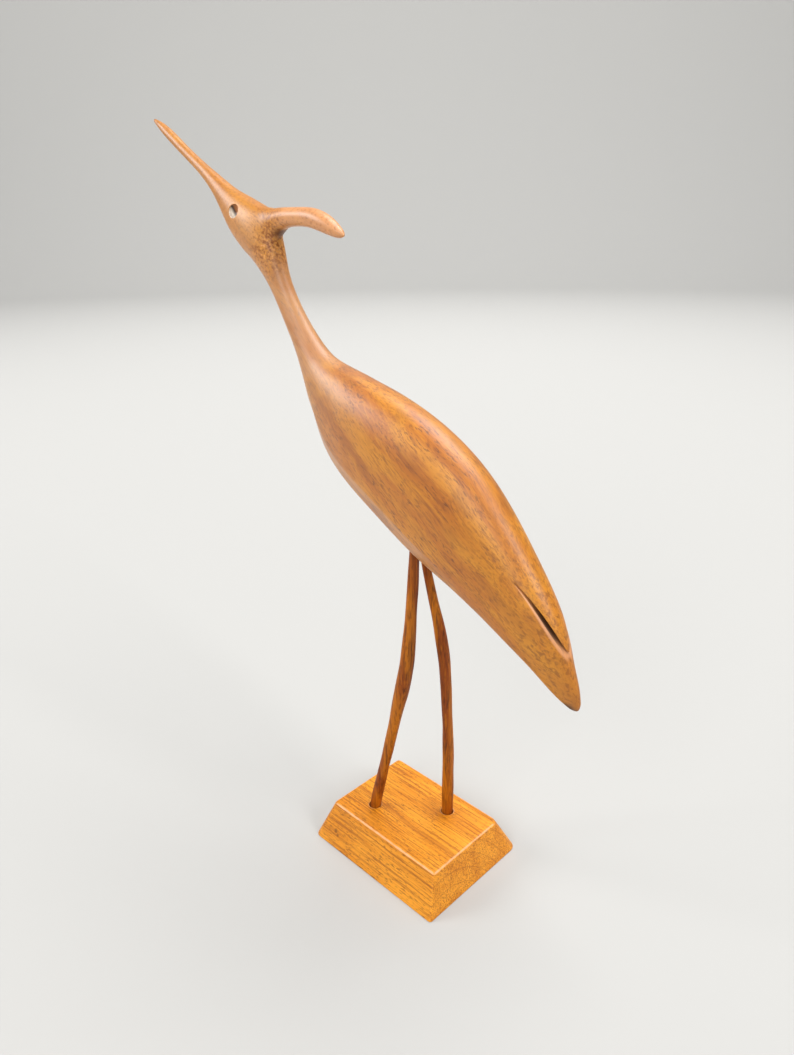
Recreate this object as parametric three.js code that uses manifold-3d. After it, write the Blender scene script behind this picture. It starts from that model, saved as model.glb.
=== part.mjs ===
// A crested wading bird carved from one piece of teak, on two bent dowel legs and a bevelled block.
// Millimetres, +Z up. The bird faces -X, its left side is -Y, and its body is mirrored about Y = 0.
// The origin is the centre of the block's underside.

import * as THREE from 'three';
import { ParametricGeometry } from 'three/addons/geometries/ParametricGeometry.js';
import { mergeVertices } from 'three/addons/utils/BufferGeometryUtils.js';
import Module from 'manifold-3d';

const wasm = await Module();
wasm.setup();

// Sizes shared by the pieces
const CLEARANCE = 0.3; // around a leg in its socket under the belly, and below its foot

// Block: a frustum with its edges eased by wear
const BLOCK = {
  length: 70.6, width: 57.2, height: 16,
  topLength: 60.2, topWidth: 41.2,
  cornerRadius: 1.0, arris: 0.8, footArris: 0.3,
};
const BLOCK_SOCKET = { radius: 2.9, depth: 9.6 };

// Bird: each station is [x, z, half depth, half width] of one cross-section, from the beak
// to the tail. Depth runs across the body in the plane Y = 0, width runs along Y.
const BIRD_STATIONS = [
  [-155.7, 301.2, 0.5, 0.5], // beak tip
  [-148.0, 297.2, 2.2, 2.2],
  [-133.0, 287.2, 2.15, 2.0], // middle of the beak
  [-119.5, 279.3, 2.4, 2.2],
  [-109.5, 272.5, 3.8, 3.4], // root of the beak
  [-102.5, 266.7, 5.7, 4.5],
  [-94.0, 260.5, 9.0, 6.5], // head, at the eyes
  [-83.2, 254.5, 10.3, 7.1],
  [-77.8, 246.0, 7.5, 5.5], // throat
  [-72.8, 236.2, 4.4, 3.8],
  [-64.8, 223.1, 4.5, 4.2], // slimmest part of the neck
  [-57.5, 213.5, 5.4, 4.9],
  [-51.0, 204.5, 7.8, 6.3], // foot of the neck
  [-43.5, 197.5, 12.4, 8.9],
  [-35.0, 190.5, 17.5, 11.2], // breast
  [-24.0, 182.5, 21.2, 12.7],
  [-2.0, 173.5, 23.4, 13.5], // middle of the body
  [20.5, 160.0, 23.1, 13.8],
  [42.0, 143.2, 16.1, 10.7], // rump
  [58.0, 128.0, 11.8, 8.9],
  [65.5, 117.0, 7.2, 5.4], // tail
  [71.6, 109.3, 5.0, 3.1],
  [75.5, 104.3, 1.3, 1.0], // tail tip
];
const BIRD_TIPS = { start: 1.0, end: 2.0 }; // length over which each tip rounds off

// Crest: the same four sizes, from inside the head to its free tip
const CREST_STATIONS = [
  [-95.0, 261.0, 3.4, 3.4], // inside the head
  [-86.0, 260.4, 5.2, 4.6],
  [-79.0, 258.2, 5.7, 4.2],
  [-73.3, 258.0, 5.7, 4.6], // root
  [-69.0, 260.2, 3.6, 3.8],
  [-57.5, 260.3, 3.3, 3.6],
  [-50.3, 259.9, 3.6, 3.7], // bend
  [-42.8, 257.6, 3.4, 3.5],
  [-37.0, 254.7, 2.2, 2.4],
  [-33.6, 253.5, 0.9, 1.0], // tip
];
const CREST_TIPS = { start: 1.0, end: 2.2 };

// A cross-section's exponent is 2 for an ellipse and grows with its half depth, so the full
// body has flat sides that turn in sharply at the belly and softly at the back.
const BACK_SQUARENESS = 0.008;
const BELLY_SQUARENESS = 0.033;

// Eyes: a round socket with a dished floor drilled into each side of the head
const EYE = { x: -92.9, z: 262.8, radius: 2.7, skin: 6.1, wall: 1.1, dish: 1.5 };

// Slot that parts the folded wing tips from the tail, cut through the full width. Its upper and
// lower edges are [x, z] of quadratic curves, from the closed end in the rump to the mouth on the
// back line above the tail, where the cutter runs on outwards.
const SLOT = {
  upper: [[53.2, 146.9], [65.9, 136.5], [71.1, 123.3]],
  lower: [[52.9, 146.5], [62.9, 136.1], [72.0, 120.4]],
  outwards: [2.8, 1.4], width: 40,
};

// Legs: each station is [x, y, z, radius], from the foot end to the hip end
const LEFT_LEG_STATIONS = [
  [-17.2, -9.2, 7.3, 2.45], // foot end, in the block
  [-15.4, -8.9, 18.0, 2.5],
  [-10.3, -7.8, 40.0, 2.2],
  [-4.8, -7.0, 64.0, 2.3], // shin
  [-0.9, -6.2, 81.0, 3.2],
  [1.8, -5.9, 94.0, 3.05], // knee
  [2.9, -5.3, 110.0, 2.4],
  [3.7, -4.4, 126.0, 2.2], // thigh
  [4.3, -3.7, 152.0, 1.9], // hip end, in the belly
];
const RIGHT_LEG_STATIONS = [
  [9.7, 10.4, 7.3, 2.4], // foot end, in the block
  [10.3, 10.0, 18.0, 2.45],
  [11.4, 9.0, 38.0, 2.55],
  [11.8, 7.9, 60.0, 2.2], // shin
  [11.7, 6.8, 79.0, 2.15],
  [11.2, 6.1, 94.0, 2.6], // knee
  [8.3, 5.5, 111.0, 2.35],
  [4.6, 4.3, 126.0, 1.65], // thigh
  [-0.3, 2.6, 152.0, 1.6], // hip end, in the belly
];
const HIP_SOCKET_START = 0.66; // share of the leg's length at which its socket cutter begins

// How finely each surface is cut into facets
const FACETS = {
  bird: { rings: 92, sides: 28 },
  crest: { rings: 26, sides: 16 },
  leg: { rings: 30, sides: 12 },
  cornerSteps: 3,
};

const TEAK = { color: 0xb8743c, roughness: 0.42, metalness: 0 };
const DARK_TEAK = { color: 0x8a4b14, roughness: 0.45, metalness: 0 };
const PALE_TEAK = { color: 0xd08838, roughness: 0.5, metalness: 0 };

// Smooths a row of stations with a uniform cubic B-spline that starts and ends on its own
// first and last station. t runs from 0 to 1.
function blendStations(stations, t) {
  const last = stations.length - 1;
  const i = Math.min(Math.floor(t * last), last - 1);
  const f = t * last - i;
  const weights = [
    (1 - f) ** 3,
    3 * f ** 3 - 6 * f ** 2 + 4,
    -3 * f ** 3 + 3 * f ** 2 + 3 * f + 1,
    f ** 3,
  ];
  const stationAt = (index, key) => {
    if (index < 0) return 2 * stations[0][key] - stations[1][key];
    if (index > last) return 2 * stations[last][key] - stations[last - 1][key];
    return stations[index][key];
  };
  return stations[0].map((_, key) =>
    weights.reduce((sum, weight, step) => sum + weight * stationAt(i - 1 + step, key), 0) / 6);
}

// Spaces rings more closely towards both ends of a surface
function crowdEnds(v) {
  const crowding = 0.85;
  return v - crowding * Math.sin(2 * Math.PI * v) / (2 * Math.PI);
}

// Quarter-round falling to 0 at a tip: 1 at a distance of the given length or more
function roundTip(distance, length) {
  return Math.sqrt(1 - (1 - Math.min(distance / length, 1)) ** 2);
}

function signedPower(value, exponent) {
  return Math.sign(value) * Math.abs(value) ** exponent;
}

// Turns a closed surface into a solid that can be joined and cut: shared vertices are merged
// and facets that collapse at a pole are left out
function solidFrom(geometry) {
  geometry.deleteAttribute('normal');
  geometry.deleteAttribute('uv');
  const merged = mergeVertices(geometry, 1e-4);
  const corners = merged.index.array;
  const kept = [];
  for (let i = 0; i < corners.length; i += 3) {
    const [a, b, c] = corners.slice(i, i + 3);
    if (a !== b && b !== c && c !== a) kept.push(a, b, c);
  }
  return new wasm.Manifold(new wasm.Mesh({
    numProp: 3,
    vertProperties: Float32Array.from(merged.attributes.position.array),
    triVerts: Uint32Array.from(kept),
  }));
}

function geometryFrom(solid) {
  const { vertProperties, triVerts } = solid.getMesh();
  const geometry = new THREE.BufferGeometry();
  geometry.setAttribute('position', new THREE.BufferAttribute(vertProperties, 3));
  geometry.setIndex(new THREE.BufferAttribute(triVerts, 1));
  geometry.computeVertexNormals();
  return geometry;
}

// A tapering carved form in the plane Y = 0. Its cross-sections stand square to the smoothed
// centre line, and each is a superellipse with its own exponent above and below.
function carvedForm(stations, tips, { rings, sides }) {
  const [startX, startZ] = stations[0];
  const [endX, endZ] = stations[stations.length - 1];
  const step = 1e-4;
  const surface = (u, v, target) => {
    const t = crowdEnds(v);
    const [x, z, halfDepth, halfWidth] = blendStations(stations, t);
    const [aheadX, aheadZ] = blendStations(stations, Math.min(t + step, 1));
    const [behindX, behindZ] = blendStations(stations, Math.max(t - step, 0));
    const along = new THREE.Vector2(aheadX - behindX, aheadZ - behindZ).normalize();
    const tip = roundTip(Math.hypot(x - startX, z - startZ), tips.start)
      * roundTip(Math.hypot(x - endX, z - endZ), tips.end);
    const angle = 2 * Math.PI * u;
    const towardsBack = Math.cos(angle);
    const squareness = towardsBack > 0 ? BACK_SQUARENESS : BELLY_SQUARENESS;
    const power = 2 / (2 + squareness * halfDepth);
    const rise = tip * halfDepth * signedPower(towardsBack, power);
    const reach = tip * halfWidth * signedPower(Math.sin(angle), power);
    target.set(x - along.y * rise, -reach, z + along.x * rise);
  };
  return solidFrom(new ParametricGeometry(surface, sides, rings));
}

// A round dowel with level rings along the smoothed centre line of its stations. The dowel
// runs from the share `from` of its length to its end, and `oversize` widens it.
function dowel(stations, { from = 0, oversize = 0 } = {}) {
  const { rings, sides } = FACETS.leg;
  const cap = 1; // rings at each end that close it
  const surface = (u, v, target) => {
    const ring = Math.round(v * (rings + 2 * cap));
    const share = THREE.MathUtils.clamp((ring - cap) / rings, 0, 1);
    const [x, y, z, radius] = blendStations(stations, from + (1 - from) * share);
    const closed = ring < cap || ring > rings + cap;
    const r = closed ? 0 : radius + oversize;
    const angle = 2 * Math.PI * u;
    target.set(x + r * Math.cos(angle), y + r * Math.sin(angle), z);
  };
  return solidFrom(new ParametricGeometry(surface, sides, rings + 2 * cap));
}

// The block: level rounded rectangles stacked from the underside to the top, drawn in by the
// taper and, at both rims, by the eased edge
function bevelledBlock() {
  const { length, width, height, topLength, topWidth, cornerRadius, arris, footArris } = BLOCK;
  const levels = [
    { z: 0, inset: 'closed' },
    { z: 0, inset: footArris },
    { z: footArris, inset: 0 },
    { z: height - arris, inset: 0 },
    { z: height - arris * 0.3, inset: arris * 0.3 },
    { z: height, inset: arris },
    { z: height, inset: 'closed' },
  ];
  const perCorner = FACETS.cornerSteps + 1;
  const surface = (u, v, target) => {
    const { z, inset } = levels[Math.round(v * (levels.length - 1))];
    if (inset === 'closed') {
      target.set(0, 0, z);
      return;
    }
    const rise = z / height;
    const halfLength = THREE.MathUtils.lerp(length, topLength, rise) / 2 - inset;
    const halfWidth = THREE.MathUtils.lerp(width, topWidth, rise) / 2 - inset;
    const point = Math.round(u * 4 * perCorner) % (4 * perCorner);
    const corner = Math.floor(point / perCorner);
    const turn = (corner + (point % perCorner) / FACETS.cornerSteps) * Math.PI / 2;
    const signX = corner === 0 || corner === 3 ? 1 : -1;
    const signY = corner < 2 ? 1 : -1;
    target.set(
      signX * (halfLength - cornerRadius) + cornerRadius * Math.cos(turn),
      signY * (halfWidth - cornerRadius) + cornerRadius * Math.sin(turn),
      z,
    );
  };
  return solidFrom(new ParametricGeometry(surface, 4 * perCorner, levels.length - 1));
}

// A round cutter that stands on the block's top and follows the leg's slant down into it
function blockSocket(stations) {
  const { radius, depth } = BLOCK_SOCKET;
  const overshoot = 6;
  const [footX, footY, footZ] = stations[0];
  const [shinX, shinY, shinZ] = stations[1];
  const foot = new THREE.Vector3(footX, footY, footZ);
  const slant = new THREE.Vector3(shinX, shinY, shinZ).sub(foot).normalize();
  const floorZ = BLOCK.height - depth;
  const floor = foot.clone().addScaledVector(slant, (floorZ - footZ) / slant.z);
  const reach = depth + overshoot;
  const cutter = new THREE.CylinderGeometry(radius, radius, reach, 24);
  cutter.rotateX(Math.PI / 2);
  cutter.translate(0, 0, reach / 2);
  cutter.lookAt(slant);
  cutter.translate(floor.x, floor.y, floor.z);
  return solidFrom(cutter);
}

// The eye's drill: a straight wall below the skin and a dished floor, on the side given as
// -1 for left or +1 for right
function eyeDrill(side) {
  const { x, z, radius, skin, wall, dish } = EYE;
  const outside = 6;
  const dishSteps = 5;
  const profile = [];
  for (let i = 0; i <= dishSteps; i += 1) {
    const turn = (i / dishSteps) * Math.PI / 2;
    profile.push(new THREE.Vector2(radius * Math.sin(turn), -wall - dish * Math.cos(turn)));
  }
  profile.push(new THREE.Vector2(radius, outside), new THREE.Vector2(0, outside));
  const drill = new THREE.LatheGeometry(profile, 24);
  if (side < 0) drill.rotateX(Math.PI);
  drill.translate(x, side * skin, z);
  return solidFrom(drill);
}

// The cut between wing tips and tail, drawn in the plane Y = 0 and run through the width
function wingSlot() {
  const { upper, lower, outwards, width } = SLOT;
  const beyond = ([x, z]) => [x + outwards[0], z + outwards[1]];
  const outline = new THREE.Shape();
  outline.moveTo(...upper[0]);
  outline.quadraticCurveTo(...upper[1], ...upper[2]);
  outline.lineTo(...beyond(upper[2]));
  outline.lineTo(...beyond(lower[2]));
  outline.lineTo(...lower[2]);
  outline.quadraticCurveTo(...lower[1], ...lower[0]);
  outline.closePath();
  const cutter = new THREE.ExtrudeGeometry(outline, {
    depth: width, bevelEnabled: false, curveSegments: 10,
  });
  cutter.rotateX(Math.PI / 2);
  cutter.translate(0, width / 2, 0);
  return solidFrom(cutter);
}

function carvedBird() {
  const hips = [LEFT_LEG_STATIONS, RIGHT_LEG_STATIONS].map((stations) => {
    const deeper = [...stations];
    const [x, y, z, radius] = stations[stations.length - 1];
    deeper[deeper.length - 1] = [x, y, z + CLEARANCE * 2, radius];
    return dowel(deeper, { from: HIP_SOCKET_START, oversize: CLEARANCE });
  });
  const cuts = [wingSlot(), eyeDrill(-1), eyeDrill(1), ...hips];
  const body = carvedForm(BIRD_STATIONS, BIRD_TIPS, FACETS.bird);
  const crest = carvedForm(CREST_STATIONS, CREST_TIPS, FACETS.crest);
  return cuts.reduce((solid, cut) => solid.subtract(cut), body.add(crest));
}

function drilledBlock() {
  const sockets = [LEFT_LEG_STATIONS, RIGHT_LEG_STATIONS].map(blockSocket);
  return sockets.reduce((solid, socket) => solid.subtract(socket), bevelledBlock());
}

function piece(name, solid, finish) {
  const mesh = new THREE.Mesh(geometryFrom(solid), new THREE.MeshStandardMaterial(finish));
  mesh.name = name;
  return mesh;
}

const sculpture = new THREE.Group();
sculpture.add(
  piece('bird', carvedBird(), TEAK),
  piece('left_leg', dowel(LEFT_LEG_STATIONS), DARK_TEAK),
  piece('right_leg', dowel(RIGHT_LEG_STATIONS), DARK_TEAK),
  piece('base', drilledBlock(), PALE_TEAK),
);

export default sculpture;
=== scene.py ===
"""A crested wading bird carved in oiled teak, on two dowel legs set in a bevelled block.

Sizes are in millimetres where a name or comment says mm, and meshes are in metres. +Z is up, the bird
faces -X, its left side is -Y, and the origin is the centre of the block's underside.
"""

import math

import bpy
import numpy as np
from mathutils import Matrix


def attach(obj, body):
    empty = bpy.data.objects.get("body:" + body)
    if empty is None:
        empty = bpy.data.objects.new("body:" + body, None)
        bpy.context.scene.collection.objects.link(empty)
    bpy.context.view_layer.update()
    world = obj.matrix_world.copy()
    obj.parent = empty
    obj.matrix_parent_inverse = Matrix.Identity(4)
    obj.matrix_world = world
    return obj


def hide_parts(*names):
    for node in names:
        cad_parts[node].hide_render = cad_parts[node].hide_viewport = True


bl_info = {
    "name": "Teak Wading Bird",
    "version": (1, 0, 0),
    "blender": (4, 5, 0),
    "location": "3D View > Sidebar > Wading Bird",
    "description": "Carves a crested teak wading bird on dowel legs and a bevelled block, in a studio",
    "category": "Add Mesh",
}

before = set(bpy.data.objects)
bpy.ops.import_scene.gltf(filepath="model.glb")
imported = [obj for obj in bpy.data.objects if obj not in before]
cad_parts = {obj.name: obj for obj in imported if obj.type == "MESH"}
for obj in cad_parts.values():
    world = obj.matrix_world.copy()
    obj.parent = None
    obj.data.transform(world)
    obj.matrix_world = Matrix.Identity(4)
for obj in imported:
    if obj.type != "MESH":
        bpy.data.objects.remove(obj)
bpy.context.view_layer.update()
MM = 0.001

# Bird: each station is [x, z, half depth, half width] in mm of one cross-section, from beak to tail.
# Depth runs across the body in the plane Y = 0, width runs along Y.
BIRD = {
    "stations": [
        [-155.7, 301.2, 0.5, 0.5],  # beak tip
        [-148.0, 297.2, 2.2, 2.2],
        [-133.0, 287.2, 2.15, 2.0],  # middle of the beak
        [-119.5, 279.3, 2.4, 2.2],
        [-109.5, 272.5, 3.8, 3.4],  # root of the beak
        [-102.5, 266.7, 5.7, 4.5],
        [-94.0, 260.5, 9.0, 6.5],  # head, at the eyes
        [-83.2, 254.5, 10.3, 7.1],
        [-77.8, 246.0, 7.5, 5.5],  # throat
        [-72.8, 236.2, 4.4, 3.8],
        [-64.8, 223.1, 4.5, 4.2],  # slimmest part of the neck
        [-57.5, 213.5, 5.4, 4.9],
        [-51.0, 204.5, 7.8, 6.3],  # foot of the neck
        [-43.5, 197.5, 12.4, 8.9],
        [-35.0, 190.5, 17.5, 11.2],  # breast
        [-24.0, 182.5, 21.2, 12.7],
        [-2.0, 173.5, 23.4, 13.5],  # middle of the body
        [20.5, 160.0, 23.1, 13.8],
        [42.0, 143.2, 16.1, 10.7],  # rump
        [58.0, 128.0, 11.8, 8.9],
        [65.5, 117.0, 7.2, 5.4],  # tail
        [71.6, 109.3, 5.0, 3.1],
        [75.5, 104.3, 1.3, 1.0],  # tail tip
    ],
    "tips": (1.0, 2.0),  # length over which each tip rounds off
}

# Crest: the same four sizes, from inside the head to its free tip
CREST = {
    "stations": [
        [-95.0, 261.0, 3.4, 3.4],  # inside the head
        [-86.0, 260.4, 5.2, 4.6],
        [-79.0, 258.2, 5.7, 4.2],
        [-73.3, 258.0, 5.7, 4.6],  # root
        [-69.0, 260.2, 3.6, 3.8],
        [-57.5, 260.3, 3.3, 3.6],
        [-50.3, 259.9, 3.6, 3.7],  # bend
        [-42.8, 257.6, 3.4, 3.5],
        [-37.0, 254.7, 2.2, 2.4],
        [-33.6, 253.5, 0.9, 1.0],  # tip
    ],
    "tips": (1.0, 2.2),
}

# A cross-section's exponent is 2 for an ellipse and grows with its half depth in mm
BACK_SQUARENESS = 0.008
BELLY_SQUARENESS = 0.040

# Along the belly the carver left a narrow facet between two soft arrises. They lie this far around
# the section from its widest point and from its lowest one, and fade out between the X pairs in mm.
ARRIS_ANGLE = math.radians(25)
ARRIS_STARTS = (-48.0, -40.0)
ARRIS_ENDS = (18.0, 44.0)

# Legs: each station is [x, y, z, radius] in mm, from the foot end to the hip end
LEGS = {
    "left_leg": [
        [-17.2, -9.2, 7.3, 2.45],  # foot end, in the block
        [-15.4, -8.9, 18.0, 2.5],
        [-10.3, -7.8, 40.0, 2.2],
        [-4.8, -7.0, 64.0, 2.3],  # shin
        [-0.9, -6.2, 81.0, 3.2],
        [1.8, -5.9, 94.0, 3.05],  # knee
        [2.9, -5.3, 110.0, 2.4],
        [3.7, -4.4, 126.0, 2.2],  # thigh
        [4.3, -3.7, 152.0, 1.9],  # hip end, in the belly
    ],
    "right_leg": [
        [9.7, 10.4, 7.3, 2.4],  # foot end, in the block
        [10.3, 10.0, 18.0, 2.45],
        [11.4, 9.0, 38.0, 2.55],
        [11.8, 7.9, 60.0, 2.2],  # shin
        [11.7, 6.8, 79.0, 2.15],
        [11.2, 6.1, 94.0, 2.6],  # knee
        [8.3, 5.5, 111.0, 2.35],
        [4.6, 4.3, 126.0, 1.65],  # thigh
        [-0.3, 2.6, 152.0, 1.6],  # hip end, in the belly
    ],
}
HIP_START = 0.66  # share of a leg's length at which the cutter of its hip socket begins
HIP_CLEARANCE = 0.1  # how much wider than the leg the socket is, in mm of radius

# Slot between the folded wing tips and the tail, in mm: its edges and how far they are worn round, as
# quadratic curves from the closed end to the mouth, and the way the cut runs on past the mouth
SLOT_UPPER = [[53.2, 146.9], [65.9, 136.5], [71.1, 123.3]]
SLOT_LOWER = [[53.0, 146.5], [63.4, 136.5], [72.2, 120.9]]
SLOT_UPPER_WEAR = [0.1, 0.15, 0.15]
SLOT_LOWER_WEAR = [0.1, 1.2, 0.7]
SLOT_OUTWARDS = [2.8, 1.4]
SLOT_FRONT = 50.0  # the whole slot lies behind this x

# Patches of the bird's surface, in mm. Places and directions are (x, z), but the tail's is (x, y, z).
NAPE_MIDDLE = (-73.0, 250.0)  # rough end grain
NAPE_DIRECTION = (0.35, 0.94)  # up the neck
NAPE_REACH = (15.0, 8.0)  # in that direction and across it
ROOT_MIDDLE = (-70.0, 254.6)  # painted shade in the corner under the crest's root
ROOT_REACH = (4.0, 5.0)  # in the plane Y = 0 and along Y
EYE_SHADE_DIRECTION = (0.75, 0.66)  # up and back across an eye socket, from its painted light towards its painted shade
TAIL_SHADE = ((72.8, -0.2, 104.0), 4.4)  # place and radius of the painted shade under the tail's tip

# Block: radii of its upright edges in mm at the foot and at the top. One was knocked blunt.
BLOCK_EDGES = {
    (1, 1): (4.2, 3.6),  # blunt
    (-1, 1): (2.0, 1.5),
    (-1, -1): (3.0, 2.0),
    (1, -1): (1.2, 1.0),
}

# Grain of the block, in mm. Each knot has its place, its radius and its strength.
PITH = (0.0, -17.0, -20.0)  # middle of the growth rings, under the block
RING_SPACING = 5.35
KNOTS = (
    ((-24.3, -25.4, 6.3), 1.3, 0.6),
    ((-22.6, -26.0, 5.2), 1.0, 0.5),
    ((30.5, 12.7, 15.7), 1.3, 0.5),
)

# Turn, in degrees, of the grain from +X about +Y
BODY_GRAIN = 38.5
LEG_GRAIN = -90.0

# Camera, in mm and degrees: where the picture was taken from. Heading turns from +Y towards -X.
CAMERA_PLACE = (186.5, -196.7, 256.7)
CAMERA_HEADING = 44.795
CAMERA_PITCH = -21.402
CAMERA_ROLL = -0.73
CAMERA_FOCAL_PIXELS = 770.27
PICTURE_SIZE = (794, 1055)
SENSOR = 36.0

# Light, in metres and watts: each softbox has its name, place, the point it faces, its sides and power
SUBJECT = (0, 0, 0.17)  # middle of the sculpture
BACKDROP = (-3.03, 3.05, 1.0)  # wall of the floor behind it
SOFTBOXES = (
    ("top softbox", (0.2, 0.65, 2.25), SUBJECT, (1.6, 1.6), 56.0),
    ("wall softbox", (-1.06, 1.06, 2.7), BACKDROP, (3.2, 1.2), 130.0),
    ("left softbox", (-1.5, -1.25, 1.2), SUBJECT, (1.0, 1.0), 29.0),
    ("right softbox", (1.8, 0.15, 1.4), SUBJECT, (0.8, 0.8), 24.0),
    ("front softbox", (0.7, -1.8, 1.3), SUBJECT, (1.2, 1.2), 24.0),
)
SURROUND_STRENGTH = 0.3


def linear(hex_colour):
    """Turns an sRGB hex colour into linear red, green, blue and alpha 1."""
    parts = [int(hex_colour[i:i + 2], 16) / 255 for i in (0, 2, 4)]
    rgb = [p / 12.92 if p <= 0.04045 else ((p + 0.055) / 1.055) ** 2.4 for p in parts]
    return (*rgb, 1.0)


def colour_property(name, description, hex_colour):
    """A colour setting whose default is an sRGB hex value."""
    return bpy.props.FloatVectorProperty(
        name=name,
        description=description,
        subtype="COLOR",
        size=4,
        min=0,
        max=1,
        default=linear(hex_colour),
    )


def length_property(name, description, millimetres):
    """A length setting whose default is given in millimetres."""
    return bpy.props.FloatProperty(
        name=name,
        description=description,
        subtype="DISTANCE",
        unit="LENGTH",
        min=0,
        default=millimetres * MM,
    )


class WaderBirdSettings(bpy.types.PropertyGroup):
    """Sizes and colours of the carved bird; the eyes' place is that of the drilled sockets."""

    eye_x: length_property("Eye X", "How far the eyes lie in front of the block's centre", 92.9)
    eye_z: length_property("Eye height", "Height of the eyes above the block's underside", 262.8)
    eye_radius: length_property("Eye radius", "Radius of the drilled eye sockets", 2.6)
    eye_stretch: bpy.props.FloatProperty(
        name="Eye stretch", description="Length of an eye socket over its height", min=1, default=1.2
    )
    eye_wall: length_property("Eye wall", "Depth of the straight wall of an eye socket", 0.8)
    eye_dish: length_property("Eye dish", "Further depth of the dished floor of an eye socket", 1.2)
    eye_lip: length_property("Eye lip", "Radius of the rounded rim of an eye socket", 0.3)
    crest_fillet: length_property("Crest fillet", "Size of the fillet where the crest meets the head", 2.4)
    wood: colour_property("Wood", "Main colour of the bird's teak", "b1650e")
    pale: colour_property("Pale streaks", "Colour of the pale streaks in the bird's teak", "cc861c")
    dark: colour_property("Dark streaks", "Colour of the dark streaks in the bird's teak", "783c0c")
    # painted sheen: a reflected light over the neck and shoulders
    painted_sheen: colour_property("Bloom", "Colour of the dull bloom on the neck and shoulders", "bd9270")
    # on the crest this is painted light, on the nape paler end grain
    paler_wood_and_light: colour_property("Fresh wood", "Colour of the paler wood of the crest and nape", "dfa06c")
    rich: colour_property("Rich wood", "Colour of the flecks on the nape, the head and the tail", "8f4c06")
    smudge: colour_property("Smudges", "Colour of the smudges on the tail and the nape", "723c08")
    pores: colour_property("Pores", "Colour of the pores in the bird's teak", "50290f")
    # painted light on the worn lower lip of the wing slot, which faces up
    painted_lip_light: colour_property("Rubbed lip", "Colour of the rubbed lower lip of the wing slot", "dda078")
    # painted shade, deep in the wing slot and under the tail's tip
    painted_shade: colour_property("Saw cut", "Colour deep in the wing slot", "241006")
    # painted light on the lower front wall of the eye sockets
    socket_painted_light: colour_property("Bare wood", "Colour of the burnished lower half of the eye sockets", "fbeedb")
    # painted shade on the upper back wall of the eye sockets
    socket_painted_shade: colour_property("Stain", "Colour of the stained upper half of the eye sockets", "43260f")


class WaderLegSettings(bpy.types.PropertyGroup):
    """Sizes and colours of the legs."""

    whittling: length_property("Whittling", "How far the hand-shaped dowels wander in radius", 0.06)
    wood: colour_property("Wood", "Main colour of the legs", "8a3f02")
    pale: colour_property("Pale streaks", "Colour of the pale streaks in the legs", "b8690a")
    dark: colour_property("Dark streaks", "Colour of the dark streaks in the legs", "3e1802")
    pores: colour_property("Pores", "Colour of the pores in the legs", "3c1a06")


class WaderBaseSettings(bpy.types.PropertyGroup):
    """Sizes and colours of the bevelled block."""

    length: length_property("Length", "Length of the block's underside", 70.6)
    width: length_property("Width", "Width of the block's underside", 57.2)
    height: length_property("Height", "Height of the block", 16)
    top_length: length_property("Top length", "Length of the block's top before its edges are eased", 60.2)
    top_width: length_property("Top width", "Width of the block's top before its edges are eased", 41.2)
    arris: length_property("Arris radius", "Radius of the worn edge around the top", 0.9)
    foot_arris: length_property("Foot arris radius", "Radius of the edge around the underside", 0.5)
    hole_radius: length_property("Hole radius", "Radius of the leg holes", 2.75)
    hole_depth: length_property("Hole depth", "Depth of the leg holes", 9.5)
    hole_lip: length_property("Hole lip", "Radius of the rounded rim of the leg holes", 0.2)
    wood: colour_property("Wood", "Main colour of the block's teak", "cd7d0f")
    pale: colour_property("Pale streaks", "Colour of the pale streaks in the block", "ea9c26")
    dark: colour_property("Dark streaks", "Colour of the dark streaks in the block", "964f08")
    pores: colour_property("Pores", "Colour of the pores in the block", "552a06")
    worn: colour_property("Worn edge", "Colour of the rubbed edges", "edb488")


class WaderStageSettings(bpy.types.PropertyGroup):
    """Colours of the studio."""

    floor: colour_property("Floor", "Colour of the paper floor", "b2b1ae")
    sky: colour_property("Surround", "Colour of the light from all round", "c9ccd2")


# Shapes


def blend_stations(stations, t):
    """Smooths rows of stations with a uniform cubic B-spline, whose rows are extended straight past
    both ends so that it starts and ends on the first and last one. t is an array from 0 to 1."""
    rows = np.asarray(stations, float)
    padded = np.vstack([2 * rows[0] - rows[1], rows, 2 * rows[-1] - rows[-2]])
    last = len(rows) - 1
    i = np.clip((t * last).astype(int), 0, last - 1)
    f = (t * last - i)[:, None]
    weights = ((1 - f) ** 3, 3 * f**3 - 6 * f**2 + 4, -3 * f**3 + 3 * f**2 + 3 * f + 1, f**3)
    return sum(weight * padded[i + k] for k, weight in enumerate(weights)) / 6


def full_turn(steps):
    """Angles of a full turn in even steps from 0, without the last, which would be the first again."""
    return np.linspace(0, 2 * np.pi, steps + 1)[:-1]


def round_tip(distance, length):
    """Quarter round that falls to 0 at a tip and is 1 from the given length on."""
    return np.sqrt(1 - (1 - np.minimum(distance / length, 1)) ** 2)


def signed_power(value, exponent):
    """Power of the value's size, with the value's sign."""
    return np.sign(value) * np.abs(value) ** exponent


def smooth_step(value, low, high):
    """Rises from 0 at low to 1 at high as 3 s^2 - 2 s^3."""
    s = np.clip((value - low) / (high - low), 0, 1)
    return s * s * (3 - 2 * s)


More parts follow.
